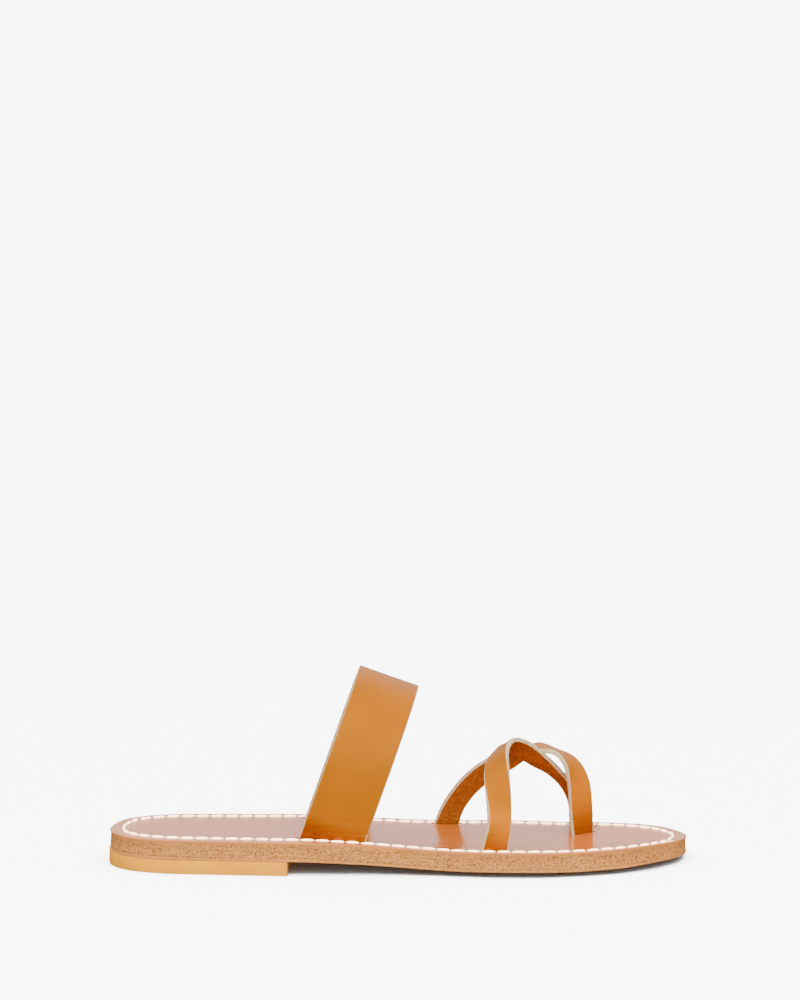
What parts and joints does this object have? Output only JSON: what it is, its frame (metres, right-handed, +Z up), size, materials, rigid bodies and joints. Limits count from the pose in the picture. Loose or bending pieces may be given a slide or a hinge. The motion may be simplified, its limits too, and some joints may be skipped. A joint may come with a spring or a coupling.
{
  "type": "slide sandal",
  "caption": "Flat leather slide sandal, right shoe: a wide leaning instep strap, two narrow toe straps that cross, and a layered leather sole on a low heel lift.",
  "frame": {"origin": "on the floor, under the middle of the shoe's box", "axes": "+X towards the toe, +Z up, +Y to the medial side; the lateral side is -Y"},
  "size_m": [0.2502, 0.0863, 0.0848],
  "materials": {
    "insole_leather": "smooth tan leather with a soft gloss",
    "midsole_leather": "raw cut edge, fibrous",
    "outsole_leather": "pale veg-tan leather",
    "lift_rubber": "smooth amber rubber",
    "strap_leather": "smooth orange-tan grain, raw cut edges, brown suede inside"
  },
  "bodies": {
    "root": {"insole": "insole_leather", "midsole": "midsole_leather", "outsole": "outsole_leather", "heel_lift": "lift_rubber", "instep_strap": "strap_leather", "toe_straps": "strap_leather"}
  },
  "joints": []
}
